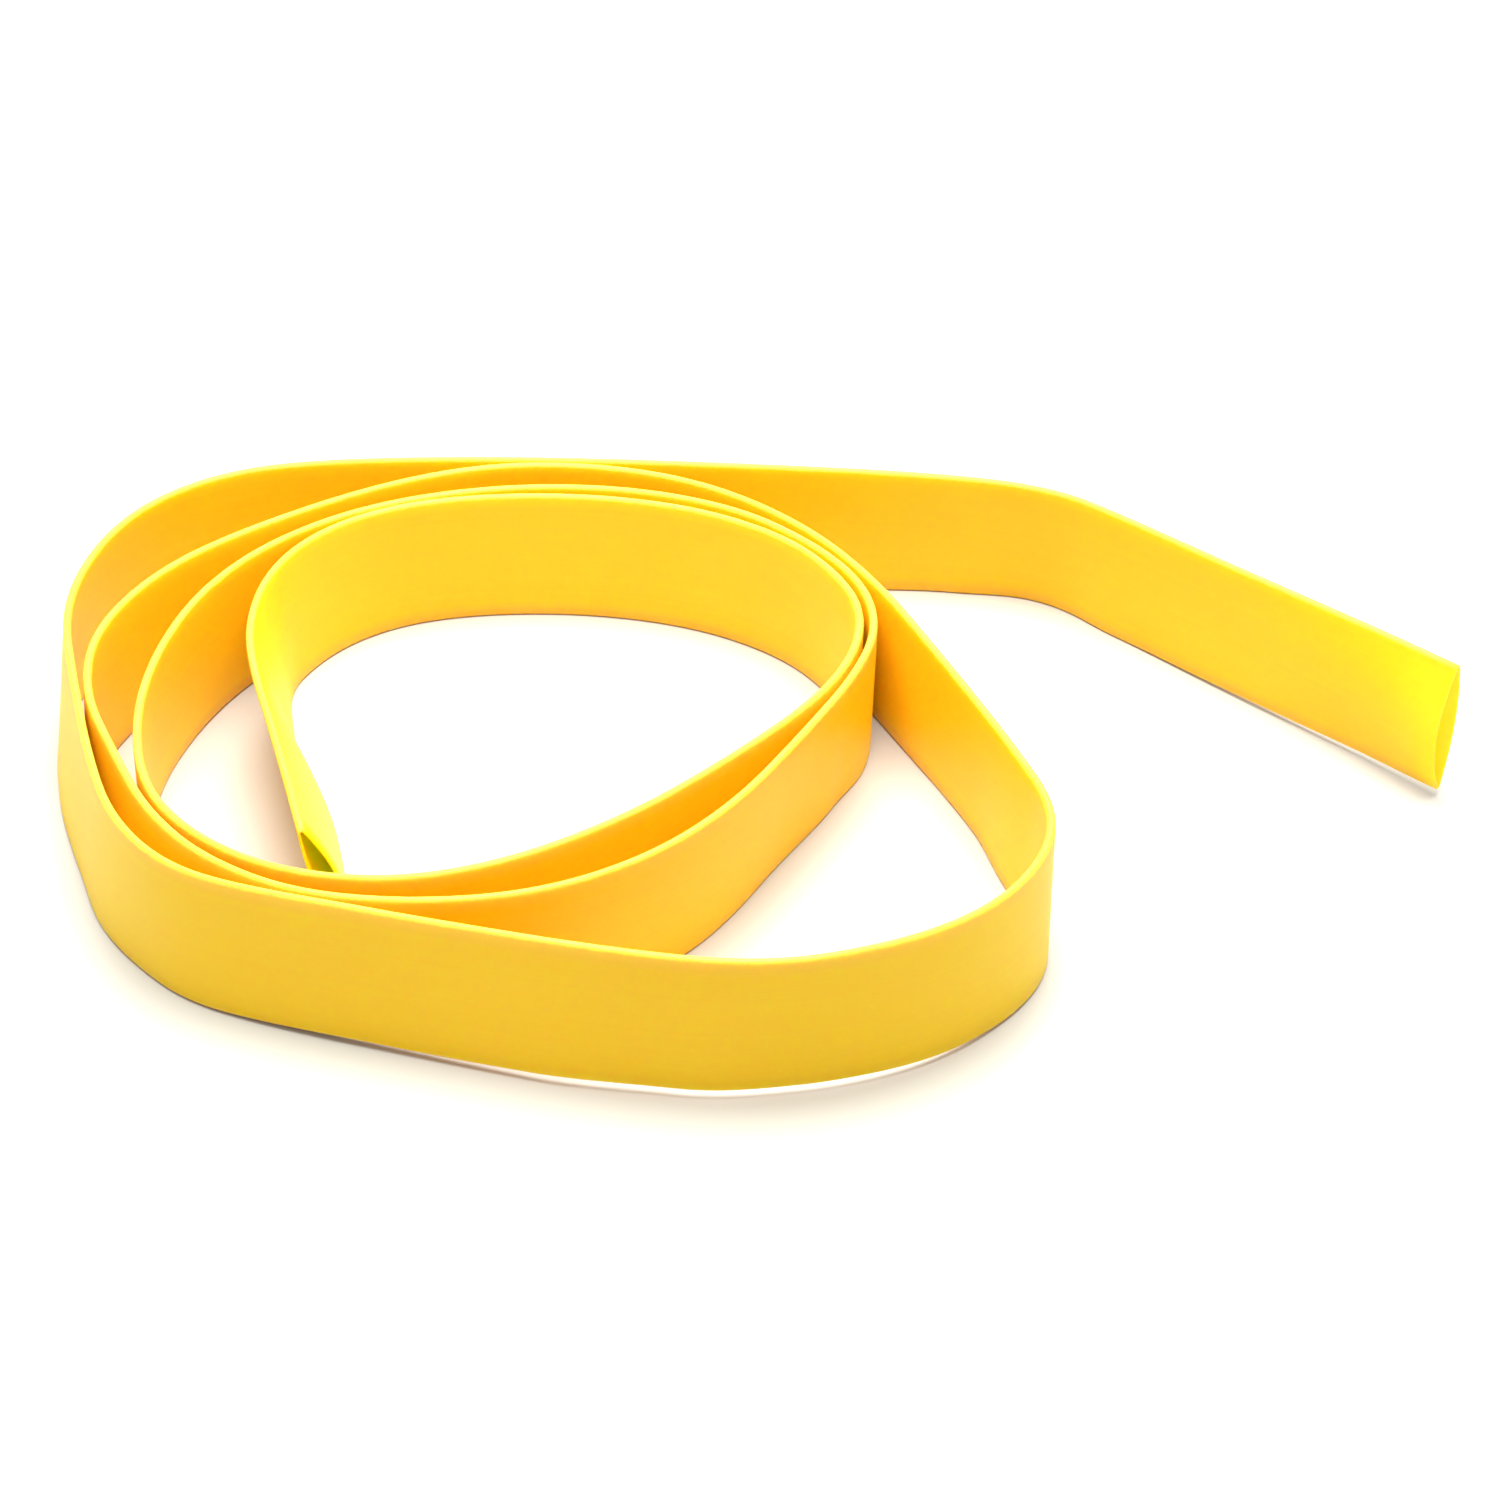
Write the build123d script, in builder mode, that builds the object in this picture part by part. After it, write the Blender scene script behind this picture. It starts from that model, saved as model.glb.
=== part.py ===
"""One length of lay-flat heat-shrink tubing, standing on its edge in a loose coil of three loops.

Millimetres, +Z up. The origin is the centre of the coil's footprint, on the surface that it stands
on. The tubing is one extruded piece, pressed flat: its cross-section is a tall thin loop, and both
ends are cut square and have sprung open a little.
"""

from build123d import *
import math
import os

os.makedirs("parts", exist_ok=True)

# The tubing's own sizes
lay_flat_width = 20.5
wall = 0.35
flat_gap = 0.4

# How far the two cut ends have sprung open, and over what length
outer_mouth_opening = 2.8
outer_mouth_length = 20
inner_mouth_opening = 2.7
inner_mouth_length = 15

# Where the tubing lies, seen from above, from its outer mouth inwards. It bends about its thin
# direction only, so its bends can be much tighter than its width.
tail = [(92, 3), (72.5, 21), (52.5, 40.5), (42, 49), (25.5, 52.5), (-0.5, 55), (-32.5, 57)]
outer_loop = [
    (-60.5, 56.5), (-75.5, 53.5), (-86.5, 45), (-92, 33), (-93.5, 18), (-89, 1), (-84.5, -15),
    (-79.5, -28), (-71.5, -37.5), (-59.5, -43), (-38.5, -49), (-16.5, -55), (1.5, -57.5),
    (16.5, -53.5), (28, -46), (35, -36), (37, -26), (32.5, -13), (24.5, 6.5),
]
middle_loop = [
    (16.5, 25), (7, 39), (-6.5, 50), (-21.5, 55), (-37.5, 55.5), (-53.5, 50), (-71.5, 38),
    (-82.5, 27), (-88.5, 13), (-87.5, -1), (-81, -15), (-75.5, -26), (-67.5, -35.5),
    (-55.5, -42.5), (-40.5, -44.5), (-25.5, -42.5), (-12.5, -35.5), (-2.5, -25), (6, -10.5),
    (13.5, 3.5), (16.5, 15),
]
inner_loop = [
    (14, 26), (6.5, 36), (-3.5, 44), (-18.5, 49), (-36.5, 49.5), (-54.5, 44.5), (-67.5, 35),
    (-75.5, 23), (-79.5, 8), (-80, -7), (-76.5, -22), (-68.5, -32), (-57.5, -38.5),
    (-43.5, -40.5), (-29.5, -36.5), (-15.5, -27.5), (-3.5, -16), (7.5, -3.5), (13, 7),
    (14.5, 18),
]
inner_end = [
    (10.5, 28), (3.5, 36.5), (-8.5, 43.5), (-24.5, 47), (-42.5, 46.5), (-55.5, 42), (-64, 34),
    (-68, 23), (-68, 10), (-61.5, -10.5), (-56, -30),
]
route = tail + outer_loop + middle_loop + inner_loop + inner_end

# An arc's reach along the shorter of its two runs
bend_share = 0.45

mid_height = lay_flat_width / 2
points = [Vector(x, y, mid_height) for x, y in route]


def bend_radius(before, corner, after):
    """The radius of the arc that rounds one corner of the route."""
    run_in, run_out = corner - before, after - corner
    half_turn = math.radians(run_in.get_angle(run_out)) / 2
    return bend_share * min(run_in.length, run_out.length) / math.tan(half_turn)


def cross_plane(origin, towards):
    """The plane across the tubing at origin: its Y is up, and its normal points along the route."""
    along = (towards - origin).normalized()
    return Plane(origin=origin, x_dir=along.cross(Vector(0, 0, 1)), z_dir=along)


def bowed_height(opening):
    """The lay-flat width once the two walls bow apart: each keeps its length, so the mouth is lower."""
    bow = (opening - flat_gap) / 2
    return lay_flat_width - 8 / 3 * bow**2 / lay_flat_width


def lens(plane, height, half_width, fold_radius):
    """A lens outline: two bowed sides, joined by a round fold at the top and at the bottom."""
    fold_centre = height / 2 - fold_radius
    side_radius = (half_width**2 + fold_centre**2 - fold_radius**2) / (2 * (half_width - fold_radius))
    rise = math.atan2(fold_centre, side_radius - half_width)
    join_x = fold_radius * math.cos(rise)
    join_y = fold_centre + fold_radius * math.sin(rise)
    with BuildSketch(plane) as outline:
        with BuildLine():
            ThreePointArc((join_x, join_y), (0, height / 2), (-join_x, join_y))
            ThreePointArc((-join_x, join_y), (-half_width, 0), (-join_x, -join_y))
            ThreePointArc((-join_x, -join_y), (0, -height / 2), (join_x, -join_y))
            ThreePointArc((join_x, -join_y), (half_width, 0), (join_x, join_y))
        make_face()
    return outline.sketch


def flat_loop(plane, height, fold_radius):
    """The outline pressed flat: two straight sides and half-round folds."""
    join_y = height / 2 - fold_radius
    with BuildSketch(plane) as outline:
        with BuildLine():
            ThreePointArc((fold_radius, join_y), (0, height / 2), (-fold_radius, join_y))
            Line((-fold_radius, join_y), (-fold_radius, -join_y))
            ThreePointArc((-fold_radius, -join_y), (0, -height / 2), (fold_radius, -join_y))
            Line((fold_radius, -join_y), (fold_radius, join_y))
        make_face()
    return outline.sketch


# The flat band lies between the two places where the ends begin to spring open.
outer_tip, inner_tip = points[0], points[-1]
outer_neck = outer_tip + (points[1] - outer_tip).normalized() * outer_mouth_length
inner_neck = inner_tip + (points[-2] - inner_tip).normalized() * inner_mouth_length
band_points = [outer_neck, *points[1:-1], inner_neck]
radii = [bend_radius(*corner) for corner in zip(band_points, band_points[1:], band_points[2:])]
mouths = [
    (outer_tip, outer_neck, outer_mouth_opening),
    (inner_tip, inner_neck, inner_mouth_opening),
]

# Each skin of the tubing, outside first: how far it lies inside the outer surface
skins = [(0, Mode.ADD), (wall, Mode.SUBTRACT)]
outer_fold = wall + flat_gap / 2

with BuildPart() as tube:
    with BuildLine() as centre_line:
        FilletPolyline(*band_points, radius=radii)
    for inset, mode in skins:
        height, fold = lay_flat_width - 2 * inset, outer_fold - inset
        band_start = cross_plane(outer_neck, points[1])
        sweep(flat_loop(band_start, height, fold), path=centre_line.line, mode=mode)
        for tip, neck, opening in mouths:
            mouth_height = bowed_height(opening) - 2 * inset
            mouth = lens(cross_plane(tip, neck), mouth_height, opening / 2 + wall - inset, fold)
            loft([mouth, flat_loop(cross_plane(neck, 2 * neck - tip), height, fold)], mode=mode)
tube.part.label = "tube"

export_step(tube.part, "parts/tube.step")

length = sum(edge.length for edge in centre_line.edges()) + outer_mouth_length + inner_mouth_length
section = flat_loop(Plane.XY, lay_flat_width, outer_fold).area - flat_loop(
    Plane.XY, lay_flat_width - 2 * wall, outer_fold - wall
).area
print("bend radii, mm:", [round(radius, 1) for radius in radii])
print(f"length {length:.1f} mm, section {section:.3f} mm2, section x length {section * length:.0f} mm3")
print(f"volume {tube.part.volume:.0f} mm3, box {tube.part.bounding_box()}")
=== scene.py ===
"""The looks of a length of lay-flat heat-shrink tubing, standing on its edge in a loose coil.

Metres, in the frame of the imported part: +Z up, the origin on the surface under the coil's middle.
"""

import math

import bmesh
import bpy
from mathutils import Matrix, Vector


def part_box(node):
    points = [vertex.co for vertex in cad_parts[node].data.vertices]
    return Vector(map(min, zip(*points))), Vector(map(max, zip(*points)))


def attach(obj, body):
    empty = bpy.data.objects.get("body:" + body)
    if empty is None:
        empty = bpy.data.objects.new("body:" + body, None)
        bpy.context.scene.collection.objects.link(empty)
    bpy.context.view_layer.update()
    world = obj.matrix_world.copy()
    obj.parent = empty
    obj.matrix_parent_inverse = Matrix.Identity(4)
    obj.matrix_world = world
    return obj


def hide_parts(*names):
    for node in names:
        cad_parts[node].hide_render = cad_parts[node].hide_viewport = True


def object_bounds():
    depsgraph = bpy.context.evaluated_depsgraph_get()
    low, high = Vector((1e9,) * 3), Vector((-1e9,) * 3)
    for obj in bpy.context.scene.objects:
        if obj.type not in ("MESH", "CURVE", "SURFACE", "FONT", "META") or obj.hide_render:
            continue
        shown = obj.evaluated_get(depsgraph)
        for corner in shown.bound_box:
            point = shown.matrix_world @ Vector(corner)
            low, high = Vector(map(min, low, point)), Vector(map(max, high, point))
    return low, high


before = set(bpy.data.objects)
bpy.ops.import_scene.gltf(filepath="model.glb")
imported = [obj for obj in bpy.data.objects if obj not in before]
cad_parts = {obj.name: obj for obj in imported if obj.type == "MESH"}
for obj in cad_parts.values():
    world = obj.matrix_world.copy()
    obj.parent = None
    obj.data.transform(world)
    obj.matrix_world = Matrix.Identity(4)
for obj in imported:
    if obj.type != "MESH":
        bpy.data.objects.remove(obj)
cad_low, cad_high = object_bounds()

# ---------------------------------------------------------------- the tubing's sizes

WALL = 0.00035
FLAT_GAP = 0.0004
FLAT_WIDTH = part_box("tube")[1].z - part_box("tube")[0].z
HALF_THICKNESS = WALL + FLAT_GAP / 2
UP = Vector((0, 0, 1))

# Where the tubing lies, seen from above, from its outer mouth inwards
TAIL = [
    (0.092, 0.003), (0.0725, 0.021), (0.0525, 0.0405), (0.042, 0.049), (0.0255, 0.0525),
    (-0.0005, 0.055), (-0.0325, 0.057),
]
OUTER_LOOP = [
    (-0.0605, 0.0565), (-0.0755, 0.0535), (-0.0865, 0.045), (-0.092, 0.033), (-0.0935, 0.018),
    (-0.089, 0.001), (-0.0845, -0.015), (-0.0795, -0.028), (-0.0715, -0.0375),
    (-0.0595, -0.043), (-0.0385, -0.049), (-0.0165, -0.055), (0.0015, -0.0575),
    (0.0165, -0.0535), (0.028, -0.046), (0.035, -0.036), (0.037, -0.026), (0.0325, -0.013),
    (0.0245, 0.0065),
]
MIDDLE_LOOP = [
    (0.0165, 0.025), (0.007, 0.039), (-0.0065, 0.05), (-0.0215, 0.055), (-0.0375, 0.0555),
    (-0.0535, 0.05), (-0.0715, 0.038), (-0.0825, 0.027), (-0.0885, 0.013), (-0.0875, -0.001),
    (-0.081, -0.015), (-0.0755, -0.026), (-0.0675, -0.0355), (-0.0555, -0.0425),
    (-0.0405, -0.0445), (-0.0255, -0.0425), (-0.0125, -0.0355), (-0.0025, -0.025),
    (0.006, -0.0105), (0.0135, 0.0035), (0.0165, 0.015),
]
INNER_LOOP = [
    (0.014, 0.026), (0.0065, 0.036), (-0.0035, 0.044), (-0.0185, 0.049), (-0.0365, 0.0495),
    (-0.0545, 0.0445), (-0.0675, 0.035), (-0.0755, 0.023), (-0.0795, 0.008), (-0.08, -0.007),
    (-0.0765, -0.022), (-0.0685, -0.032), (-0.0575, -0.0385), (-0.0435, -0.0405),
    (-0.0295, -0.0365), (-0.0155, -0.0275), (-0.0035, -0.016), (0.0075, -0.0035),
    (0.013, 0.007), (0.0145, 0.018),
]
INNER_END = [
    (0.0105, 0.028), (0.0035, 0.0365), (-0.0085, 0.0435), (-0.0245, 0.047), (-0.0425, 0.0465),
    (-0.0555, 0.042), (-0.064, 0.034), (-0.068, 0.023), (-0.068, 0.01), (-0.0615, -0.0105),
    (-0.056, -0.03),
]
ROUTE = TAIL + OUTER_LOOP + MIDDLE_LOOP + INNER_LOOP + INNER_END

# How the band leans along the route, as distance from the outer mouth and degrees. The top fold
# keeps to the route, and a positive lean carries the bottom fold out of the coil.
LEANS = [
    (0.0, -1.0), (0.015, 0.4), (0.04, 0.4), (0.055, 0.8), (0.07, 5.0), (0.081, 2.6), (0.095, 0.2),
    (0.18, 0.0), (0.215, 6.0), (0.245, 11.0), (0.265, 7.6), (0.285, 2.8), (0.3, 2.3), (0.335, 3.1),
    (0.352, 0.7), (0.367, -2.2), (0.39, -0.6), (0.405, 1.3), (0.424, -3.0), (0.437, -0.1),
    (0.465, -2.8), (0.5, 0.0), (0.595, 0.0), (0.615, 5.0), (0.64, 9.0), (0.665, 4.0),
    (0.7, -2.0), (0.72, -4.1), (0.742, -6.2), (0.758, -4.5), (0.768, -1.5), (0.83, -0.6),
    (0.89, 0.6), (0.915, 3.0), (0.96, 0.0), (1.07, -1.2), (1.14, 0.5), (1.163, -2.2),
    (1.18, -11.3), (1.2, -19.2), (1.228, -14.7),
]

# How far the bottom fold stands off the floor, as distance from the outer mouth and metres
LIFTS = [
    (0.0, 0.001), (0.06, 0.0), (0.285, 0.0), (0.315, 0.0008), (0.345, 0.0012), (0.37, 0.0012),
    (0.405, 0.0), (1.228, 0.0),
]

# The two cut ends: how far the wall towards the coil's inside bows out, how far the other one
# does, and how far back along the tubing the bow reaches
OUTER_MOUTH = (0.0026, 0.0012, 0.035)
INNER_MOUTH = (0.00145, 0.00085, 0.06)
MOUTH_FLARE = 1.3

# How finely the tubing is made: steps from one route point to the next, up a wall and over a fold,
# and how far apart two points of its seam may be and still be joined
ROUTE_STEPS = 12
WALL_STEPS = 12
FOLD_STEPS = 6
SEAM_GAP = 1e-7


# ---------------------------------------------------------------- the tubing's line and section


def centre_line(route, height):
    """The smooth line along the route, as a spline with the route's points for its controls."""
    curve = bpy.data.curves.new("tubing_line", "CURVE")
    curve.dimensions = "3D"
    spline = curve.splines.new("NURBS")
    spline.points.add(len(route) - 1)
    for point, (x, y) in zip(spline.points, route):
        point.co = (x, y, height, 1)
    spline.order_u = 3
    spline.use_endpoint_u = True
    spline.resolution_u = ROUTE_STEPS
    line = bpy.data.objects.new("tubing_line", curve)
    mesh = bpy.data.meshes.new_from_object(line)
    points = [vertex.co.copy() for vertex in mesh.vertices]
    bpy.data.objects.remove(line)
    bpy.data.curves.remove(curve)
    bpy.data.meshes.remove(mesh)
    return points


def eased(stops, at):
    """The value at a distance, eased from one (distance, value) stop to the next."""
    for (start, low), (end, high) in zip(stops, stops[1:]):
        if at <= end:
            share = max(0.0, (at - start) / (end - start))
            return low + (high - low) * share * share * (3 - 2 * share)
    return stops[-1][1]


def mouth_bows(along, length):
    """How far the inner and the outer wall bow out at a distance along the tubing."""
    bows = [0.0, 0.0]
    for from_tip, (inner, outer, reach) in ((along, OUTER_MOUTH), (length - along, INNER_MOUTH)):
        share = max(0.0, 1 - from_tip / reach) ** MOUTH_FLARE
        bows = [bows[0] + share * inner, bows[1] + share * outer]
    return bows


def section_outline():
    """Once round the flat section, as (side, rise, fold): side is -1 on the wall that faces the
    coil's inside and 1 on the other, rise goes from -1 to 1 up a wall, fold is how far over a fold."""
    outline = []
    for side in (1, -1):
        outline += [(side, side * (2 * i / WALL_STEPS - 1), 0.0) for i in range(WALL_STEPS)]
        for i in range(FOLD_STEPS):
            turn = math.pi * i / FOLD_STEPS
            outline.append((side * math.cos(turn), side, side * math.sin(turn)))
    return outline


def band_point(place, across, lean, bows, step):
    """One point of the section: place is the section's middle, and across points out of the coil.
    A bowed wall keeps its length, so the mouth stands a little lower than the flat tubing."""
    side, rise, fold = step
    bow_in, bow_out = bows
    bow = bow_out if side > 0 else -bow_in
    mean_bow = (bow_in + bow_out) / 2
    sunk = 4 / 3 * mean_bow**2 / FLAT_WIDTH
    half_wall = FLAT_WIDTH / 2 - HALF_THICKNESS - sunk
    out = side * HALF_THICKNESS + bow * (1 - rise * rise)
    up = rise * half_wall + fold * HALF_THICKNESS
    along_lean = UP * math.cos(lean) - across * math.sin(lean)
    across_lean = across * math.cos(lean) + UP * math.sin(lean)
    return place + across_lean * out + along_lean * up


# ---------------------------------------------------------------- materials


class Value:
    """A shader socket that adds and multiplies in Python expressions."""

    def __init__(self, shader, socket):
        self.shader, self.socket = shader, socket

    def _math(self, operation, *inputs):
        return self.shader.node("ShaderNodeMath", {"operation": operation}, *inputs)

    def __add__(self, other):
        return self._math("ADD", self, other)

    def __radd__(self, other):
        return self._math("ADD", other, self)

    def __mul__(self, other):
        return self._math("MULTIPLY", self, other)

    def __rmul__(self, other):
        return self._math("MULTIPLY", other, self)


class Shader:
    """A material's nodes, made and linked by one method."""

    def __init__(self, name):
        self.material = bpy.data.materials.new(name)
        self.material.use_nodes = True
        self.tree = self.material.node_tree
        self.tree.nodes.clear()

    def node(self, kind, settings, *inputs, output=0, **named):
        """One node: its kind, its settings, then its sockets by their order or their names."""
        made = self.tree.nodes.new(kind)
        for setting, value in settings.items():
            if setting == "stops":
                self._ramp(made.color_ramp, value)
            else:
                setattr(made, setting, value)
        sockets = [socket for socket in made.inputs if socket.enabled]
        names = [socket.name.replace(" ", "_") for socket in sockets]
        for key, value in [*enumerate(inputs), *named.items()]:
            socket = sockets[key if isinstance(key, int) else names.index(key)]
            if isinstance(value, Value):
                self.tree.links.new(value.socket, socket)
            elif value is not None:
                socket.default_value = value
        results = [socket for socket in made.outputs if socket.enabled]
        return Value(self, results[output]) if results else None

    @staticmethod
    def _ramp(ramp, stops):
        """Colour stops as (position, colour), from left to right."""
        while len(ramp.elements) < len(stops):
            ramp.elements.new(1.0)
        for element, (at, colour) in zip(ramp.elements, stops):
            element.position = at
            element.color = colour


def rgb(red, green, blue):
    return (red, green, blue, 1.0)


BLACK = rgb(0, 0, 0)
WHITE = rgb(1, 1, 1)
DEEP_YELLOW = rgb(0.985, 0.55, 0.004)
BRIGHT_YELLOW = rgb(0.995, 0.60, 0.006)
# The fold colour is a painted highlight: paler and whiter than the walls, standing in for the light's
# sheen on the folds
PAINTED_HIGHLIGHT_FOLD_YELLOW = rgb(0.98, 0.47, 0.045)
FLOOR_GREY = rgb(0.45, 0.45, 0.41)

# How far light travels inside the wall, in metres of red, green and blue
LIGHT_REACH = (0.0009, 0.0022, 0.0001)


def yellow_polyolefin():
    """Thin satin polyolefin that lets light through, with a painted highlight on its folds and faint
    drawing lines.
    """
    shader = Shader("yellow_polyolefin")
    lay = shader.node("ShaderNodeUVMap", {"uv_map": "lay"})
    along = shader.node("ShaderNodeSeparateXYZ", {}, lay)
    around = shader.node("ShaderNodeSeparateXYZ", {}, lay, output=1)
    lines_at = shader.node("ShaderNodeCombineXYZ", {}, along * 8, around * 90, 0.0)
    lines = shader.node("ShaderNodeTexNoise", {}, Vector=lines_at, Scale=1.0, Detail=3.0)
    clouds_at = shader.node("ShaderNodeCombineXYZ", {}, along * 45, around * 4, 0.0)
    clouds = shader.node("ShaderNodeTexNoise", {}, Vector=clouds_at, Scale=1.0, Detail=2.0)
    colour = shader.node(
        "ShaderNodeValToRGB",
        {"stops": [(0.3, DEEP_YELLOW), (0.7, BRIGHT_YELLOW)]},
        lines * 0.4 + clouds * 0.6,
    )
    # Each half of the way round is one wall and then one fold
    half_way = shader.node("ShaderNodeMath", {"operation": "FRACT"}, around * 2)
    fold = shader.node(
        "ShaderNodeValToRGB",
        {"stops": [(0.6, BLACK), (0.7, WHITE), (0.96, WHITE), (1.0, BLACK)]},
        half_way,
    )
    # The folds get the paler fold colour, a painted highlight in place of the sheen the light gives
    # them
    skin = shader.node("ShaderNodeMix", {"data_type": "RGBA"}, fold, colour, PAINTED_HIGHLIGHT_FOLD_YELLOW)
    bump = shader.node("ShaderNodeBump", {}, Strength=0.15, Distance=0.0002, Height=lines)
    surface = shader.node(
        "ShaderNodeBsdfPrincipled",
        {"subsurface_method": "RANDOM_WALK"},
        Base_Color=skin,
        Roughness=0.45,
        IOR=1.5,
        Specular_IOR_Level=0.25,
        Subsurface_Weight=1.0,
        Subsurface_Radius=LIGHT_REACH,
        Subsurface_Scale=1.0,
        Normal=bump,
    )
    shader.node("ShaderNodeOutputMaterial", {}, surface)
    return shader.material


def white_floor():
    shader = Shader("white_floor")
    surface = shader.node("ShaderNodeBsdfPrincipled", {}, Base_Color=FLOOR_GREY, Roughness=0.9)
    shader.node("ShaderNodeOutputMaterial", {}, surface)
    return shader.material


# ---------------------------------------------------------------- the tubing


def tubing():
    """The whole length as one sheet of faces, rolled into the flat section along its line."""
    line = centre_line(ROUTE, FLAT_WIDTH / 2)
    outline = section_outline()
    travelled = [0.0]
    for before, after in zip(line, line[1:]):
        travelled.append(travelled[-1] + (after - before).length)
    middles, acrosses, leans, bows = [], [], [], []
    for i, place in enumerate(line):
        heading = (line[min(i + 1, len(line) - 1)] - line[max(i - 1, 0)]).normalized()
        across = heading.cross(UP)
        lean = math.radians(eased(LEANS, travelled[i]))
        dropped = FLAT_WIDTH / 2 * (1 - math.cos(lean))
        middle = place + across * (FLAT_WIDTH / 2 * math.sin(lean)) - UP * dropped
        middles.append(middle + UP * eased(LIFTS, travelled[i]))
        acrosses.append(across)
        leans.append(lean)
        bows.append(mouth_bows(travelled[i], travelled[-1]))

    sheet = bmesh.new()
    uv = sheet.loops.layers.uv.new("lay")
    rows, columns = len(outline), len(line) - 1
    bmesh.ops.create_grid(sheet, x_segments=columns, y_segments=rows, size=0.5)
    for face in sheet.faces:
        for loop in face.loops:
            i, j = round((loop.vert.co.x + 0.5) * columns), round((loop.vert.co.y + 0.5) * rows)
            loop[uv].uv = (travelled[i], j / rows)
    for vertex in sheet.verts:
        i, j = round((vertex.co.x + 0.5) * columns), round((vertex.co.y + 0.5) * rows)
        vertex.co = band_point(middles[i], acrosses[i], leans[i], bows[i], outline[j % rows])
    bmesh.ops.remove_doubles(sheet, verts=sheet.verts, dist=SEAM_GAP)
    for face in sheet.faces:
        face.smooth = True
    mesh = bpy.data.meshes.new("tubing")
    sheet.to_mesh(mesh)
    sheet.free()
    tube = bpy.data.objects.new("tubing", mesh)
    bpy.context.collection.objects.link(tube)
    wall = tube.modifiers.new("wall", "SOLIDIFY")
    wall.thickness = WALL
    wall.offset = -1
    mesh.materials.append(yellow_polyolefin())
    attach(tube, "root")
    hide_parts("tube")


# ---------------------------------------------------------------- floor, light and camera


FLOOR_REACH = 3.0


def floor():
    sheet = bmesh.new()
    bmesh.ops.create_grid(sheet, x_segments=1, y_segments=1, size=FLOOR_REACH)
    mesh = bpy.data.meshes.new("floor")
    sheet.to_mesh(mesh)
    sheet.free()
    plane = bpy.data.objects.new("floor", mesh)
    plane.location.z = cad_low.z
    bpy.context.collection.objects.link(plane)
    mesh.materials.append(white_floor())


def soft_light(name, place, size, watts):
    """A round lamp that points at the origin."""
    light = bpy.data.lights.new(name, "AREA")
    light.shape = "DISK"
    light.size = size
    light.energy = watts
    lamp = bpy.data.objects.new(name, light)
    lamp.location = place
    lamp.rotation_euler = (-Vector(place)).to_track_quat("-Z", "Y").to_euler()
    bpy.context.collection.objects.link(lamp)


def studio():
    world = bpy.data.worlds.new("studio")
    bpy.context.scene.world = world
    world.use_nodes = True
    backdrop = world.node_tree.nodes["Background"]
    backdrop.inputs["Color"].default_value = WHITE
    backdrop.inputs["Strength"].default_value = 0.76
    soft_light("overhead", (0.0, 0.02, 0.45), 0.4, 6.2)
    soft_light("behind", (0.0, 0.45, 0.5), 0.5, 3.0)
    bpy.context.scene.view_settings.view_transform = "Standard"


AIM = Vector((-0.0008, 0.01325, 0.0))
CAMERA_DISTANCE = 0.4299
CAMERA_PITCH = math.radians(36.5)


def camera():
    lens = bpy.data.cameras.new("camera")
    lens.lens = 75.0
    lens.sensor_width = 36.0
    lens.clip_start = 0.01
    viewer = bpy.data.objects.new("camera", lens)
    back = Vector((0, -math.cos(CAMERA_PITCH), math.sin(CAMERA_PITCH)))
    viewer.location = AIM + back * CAMERA_DISTANCE
    viewer.rotation_euler = (-back).to_track_quat("-Z", "Y").to_euler()
    bpy.context.collection.objects.link(viewer)
    bpy.context.scene.camera = viewer


camera()
tubing()
floor()
studio()
